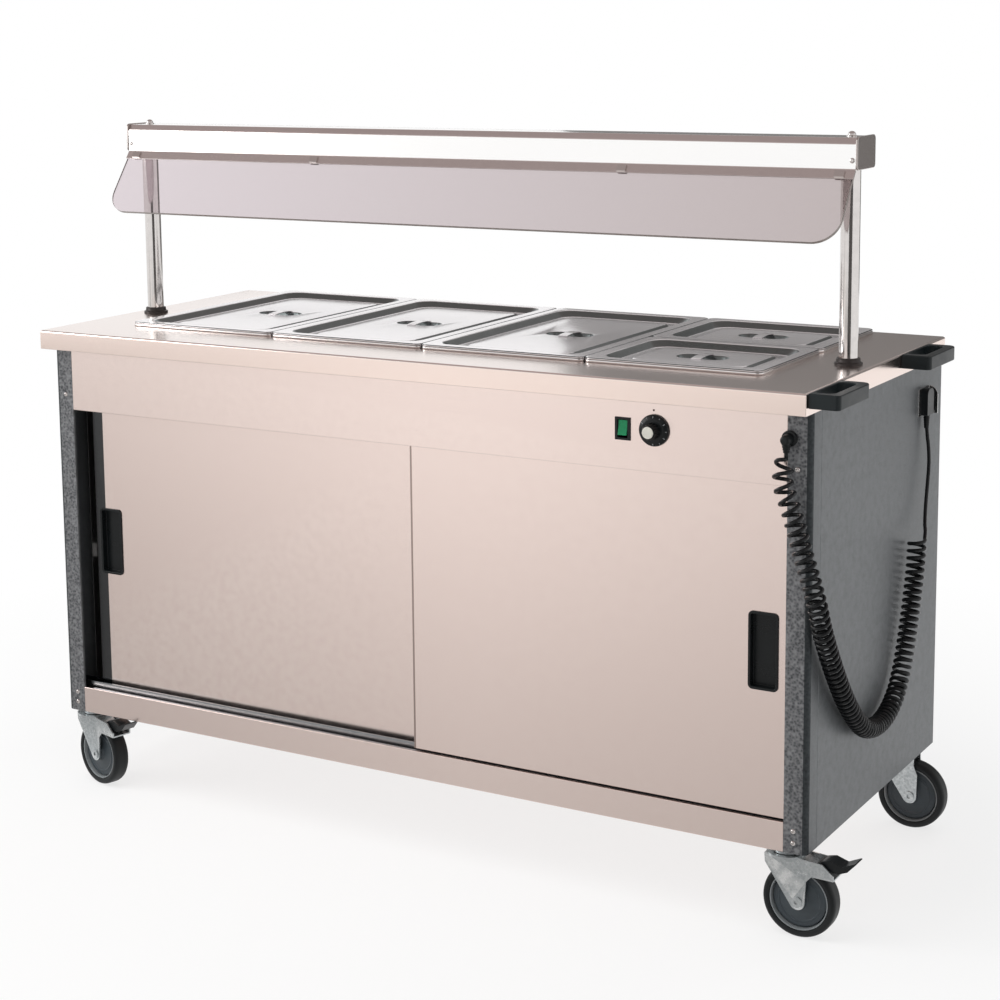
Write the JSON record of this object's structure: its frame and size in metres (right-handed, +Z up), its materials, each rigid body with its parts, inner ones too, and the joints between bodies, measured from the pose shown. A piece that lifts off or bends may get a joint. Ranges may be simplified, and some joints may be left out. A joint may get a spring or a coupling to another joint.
{
  "type": "hot cupboard",
  "caption": "Mobile heated servery cupboard: sliding doors, bain-marie well with lidded gastronorm pans, gantry with angled glass screen, push handles, curled mains lead and swivel castors.",
  "frame": {"origin": "on the floor under the middle of the object's outline, cord left out", "axes": "+X along the worktop towards the push handles, +Y from the serving front with the doors to the back, +Z up"},
  "size_m": [1.626, 0.6792, 1.292],
  "materials": {
    "worktop_steel": "brushed stainless, worn satin",
    "panel_steel": "brushed stainless with a warm cast",
    "side_steel": "fine-grained grey stainless",
    "post_finish": "dark grey textured coating",
    "liner_steel": "plain stainless",
    "pan_steel": "bright pressed stainless",
    "lid_steel": "bright pressed stainless",
    "gantry_steel": "satin stainless",
    "tube_steel": "polished stainless tube",
    "track_aluminium": "mill finish",
    "glass": "clear toughened glass",
    "black_plastic": "black moulded plastic",
    "rocker_green": "green rocker",
    "nylon": "natural nylon",
    "ceramic": "glazed ceramic",
    "quartz": "quartz lamp tube",
    "element_sheath": "dark oxidised sheath",
    "cord_rubber": "black flexible lead",
    "handle_rubber": "black moulded handle",
    "zinc_plate": "bright zinc plate",
    "wheel_rubber": "grey-black rubber tyre and hub"
  },
  "bodies": {
    "root": {"worktop": "worktop_steel", "front_posts": "post_finish", "left_end_panel": "side_steel", "right_end_panel": "side_steel", "control_fascia": "panel_steel", "rear_panel": "side_steel", "base_tray": "panel_steel", "cupboard_liner": "liner_steel", "middle_shelf": "liner_steel", "upper_door_track": "track_aluminium", "lower_door_track": "track_aluminium", "well_tank": "liner_steel", "pan_support_bars": "liner_steel", "well_heater": "element_sheath", "cupboard_heater": "element_sheath", "thermostat_body": "ceramic", "switch_housing": "black_plastic", "push_handles": "handle_rubber", "gantry_posts": "tube_steel", "post_fixings": "tube_steel", "gantry_housing": "gantry_steel", "gantry_end_caps": "side_steel", "heat_lamps": "quartz", "lamp_holders": "ceramic", "glass_screen": "glass", "glass_clips": "tube_steel", "cord_gland": "black_plastic", "mains_cord": "cord_rubber", "mains_plug": "black_plastic", "plug_holder": "gantry_steel", "panel_screws": "tube_steel", "castor_plates": "zinc_plate"},
    "left_door": {"left_door": "panel_steel", "left_door_pull": "black_plastic", "left_door_runners": "nylon"},
    "right_door": {"right_door": "panel_steel", "right_door_pull": "black_plastic", "right_door_runners": "nylon"},
    "rocker": {"rocker_switch": "rocker_green"},
    "knob": {"thermostat_knob": "black_plastic"},
    "pan_1": {"pan_1": "pan_steel"},
    "pan_2": {"pan_2": "pan_steel"},
    "pan_3": {"pan_3": "pan_steel"},
    "half_pan_rear": {"half_pan_rear": "pan_steel"},
    "half_pan_front": {"half_pan_front": "pan_steel"},
    "lid_1": {"lid_1": "lid_steel"},
    "lid_2": {"lid_2": "lid_steel"},
    "lid_3": {"lid_3": "lid_steel"},
    "half_lid_rear": {"half_lid_rear": "lid_steel"},
    "half_lid_front": {"half_lid_front": "lid_steel"},
    "castor_fork_left_front": {"castor_fork_left_front": "zinc_plate"},
    "castor_wheel_left_front": {"castor_wheel_left_front": "wheel_rubber"},
    "brake_lever_left": {"brake_lever_left": "black_plastic"},
    "castor_fork_right_front": {"castor_fork_right_front": "zinc_plate"},
    "castor_wheel_right_front": {"castor_wheel_right_front": "wheel_rubber"},
    "brake_lever_right": {"brake_lever_right": "black_plastic"},
    "castor_fork_left_rear": {"castor_fork_left_rear": "zinc_plate"},
    "castor_wheel_left_rear": {"castor_wheel_left_rear": "wheel_rubber"},
    "castor_fork_right_rear": {"castor_fork_right_rear": "zinc_plate"},
    "castor_wheel_right_rear": {"castor_wheel_right_rear": "wheel_rubber"}
  },
  "joints": [
    {"name": "left_door_slide", "type": "slide", "parent": "root", "child": "left_door", "axis": [1, 0, 0], "range_m": [-0.06, 0.735]},
    {"name": "right_door_slide", "type": "slide", "parent": "root", "child": "right_door", "axis": [1, 0, 0], "range_m": [-0.793, 0]},
    {"name": "rocker_tilt", "type": "hinge", "parent": "root", "child": "rocker", "pos_m": [0.406, -0.291, 0.816], "axis": [1, 0, 0], "range_deg": [0, 20]},
    {"name": "knob_turn", "type": "hinge", "parent": "root", "child": "knob", "pos_m": [0.463, -0.299, 0.818], "axis": [0, 1, 0], "range_deg": [0, 280]},
    {"name": "pan_1_lift", "type": "slide", "parent": "root", "child": "pan_1", "axis": [0, 0, 1], "range_m": [0, 0.11]},
    {"name": "lid_1_lift", "type": "slide", "parent": "pan_1", "child": "lid_1", "axis": [0, 0, 1], "range_m": [0, 0.05]},
    {"name": "pan_2_lift", "type": "slide", "parent": "root", "child": "pan_2", "axis": [0, 0, 1], "range_m": [0, 0.11]},
    {"name": "lid_2_lift", "type": "slide", "parent": "pan_2", "child": "lid_2", "axis": [0, 0, 1], "range_m": [0, 0.05]},
    {"name": "pan_3_lift", "type": "slide", "parent": "root", "child": "pan_3", "axis": [0, 0, 1], "range_m": [0, 0.11]},
    {"name": "lid_3_lift", "type": "slide", "parent": "pan_3", "child": "lid_3", "axis": [0, 0, 1], "range_m": [0, 0.05]},
    {"name": "half_pan_rear_lift", "type": "slide", "parent": "root", "child": "half_pan_rear", "axis": [0, 0, 1], "range_m": [0, 0.11]},
    {"name": "half_lid_rear_lift", "type": "slide", "parent": "half_pan_rear", "child": "half_lid_rear", "axis": [0, 0, 1], "range_m": [0, 0.05]},
    {"name": "half_pan_front_lift", "type": "slide", "parent": "root", "child": "half_pan_front", "axis": [0, 0, 1], "range_m": [0, 0.11]},
    {"name": "half_lid_front_lift", "type": "slide", "parent": "half_pan_front", "child": "half_lid_front", "axis": [0, 0, 1], "range_m": [0, 0.05]},
    {"name": "castor_swivel_left_front", "type": "hinge", "parent": "root", "child": "castor_fork_left_front", "pos_m": [-0.766, -0.273, 0.15], "axis": [0, 0, 1], "continuous": true},
    {"name": "castor_roll_left_front", "type": "hinge", "parent": "castor_fork_left_front", "child": "castor_wheel_left_front", "pos_m": [-0.74089, -0.27973, 0.0625], "axis": [0.2588, 0.9659, 0], "continuous": true},
    {"name": "brake_press_left", "type": "hinge", "parent": "castor_fork_left_front", "child": "brake_lever_left", "pos_m": [-0.70611, -0.28905, 0.129], "axis": [0.2588, 0.9659, 0], "range_deg": [0, 12]},
    {"name": "castor_swivel_right_front", "type": "hinge", "parent": "root", "child": "castor_fork_right_front", "pos_m": [0.69, -0.273, 0.15], "axis": [0, 0, 1], "continuous": true},
    {"name": "castor_roll_right_front", "type": "hinge", "parent": "castor_fork_right_front", "child": "castor_wheel_right_front", "pos_m": [0.716, -0.273, 0.0625], "axis": [0, 1, 0], "continuous": true},
    {"name": "brake_press_right", "type": "hinge", "parent": "castor_fork_right_front", "child": "brake_lever_right", "pos_m": [0.752, -0.273, 0.129], "axis": [0, 1, 0], "range_deg": [0, 12]},
    {"name": "castor_swivel_left_rear", "type": "hinge", "parent": "root", "child": "castor_fork_left_rear", "pos_m": [-0.766, 0.273, 0.15], "axis": [0, 0, 1], "continuous": true},
    {"name": "castor_roll_left_rear", "type": "hinge", "parent": "castor_fork_left_rear", "child": "castor_wheel_left_rear", "pos_m": [-0.74, 0.273, 0.0625], "axis": [0, 1, 0], "continuous": true},
    {"name": "castor_swivel_right_rear", "type": "hinge", "parent": "root", "child": "castor_fork_right_rear", "pos_m": [0.69, 0.273, 0.15], "axis": [0, 0, 1], "continuous": true},
    {"name": "castor_roll_right_rear", "type": "hinge", "parent": "castor_fork_right_rear", "child": "castor_wheel_right_rear", "pos_m": [0.716, 0.273, 0.0625], "axis": [0, 1, 0], "continuous": true}
  ]
}
